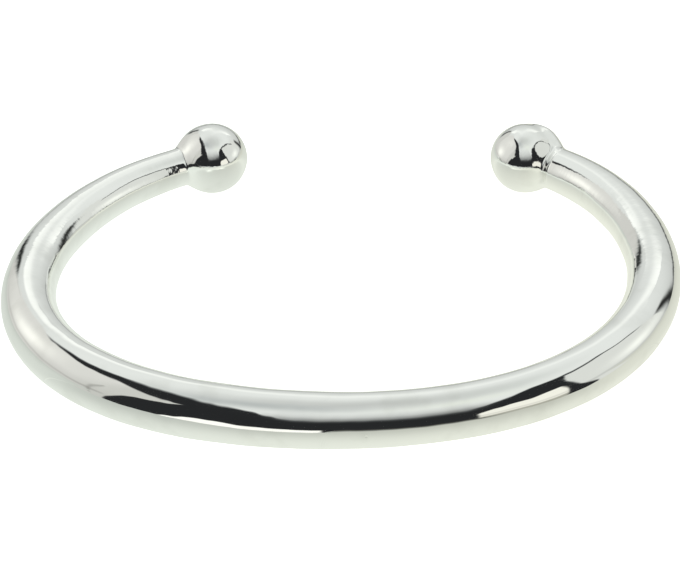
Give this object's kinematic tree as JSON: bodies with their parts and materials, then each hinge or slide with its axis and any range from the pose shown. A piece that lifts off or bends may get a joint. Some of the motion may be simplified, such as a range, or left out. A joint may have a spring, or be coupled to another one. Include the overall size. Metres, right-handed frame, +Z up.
{
  "type": "cuff bangle",
  "caption": "Open oval cuff bangle of round polished silver bar that narrows to a smooth neck and ends in a ball on each side of the gap.",
  "frame": {"origin": "on the surface that the bangle lies on, under the middle of its outer box", "axes": "+X across the bangle, along its longest side; +Y from the front of the bar towards the gap between the balls; +Z up, through the hollow that the wrist goes in"},
  "size_m": [0.0674, 0.0548, 0.0074],
  "materials": {
    "polished_silver": "sterling silver, mirror polished by hand, with slight waves and fine scratches"
  },
  "bodies": {
    "root": {"cuff_bangle": "polished_silver"}
  },
  "joints": []
}
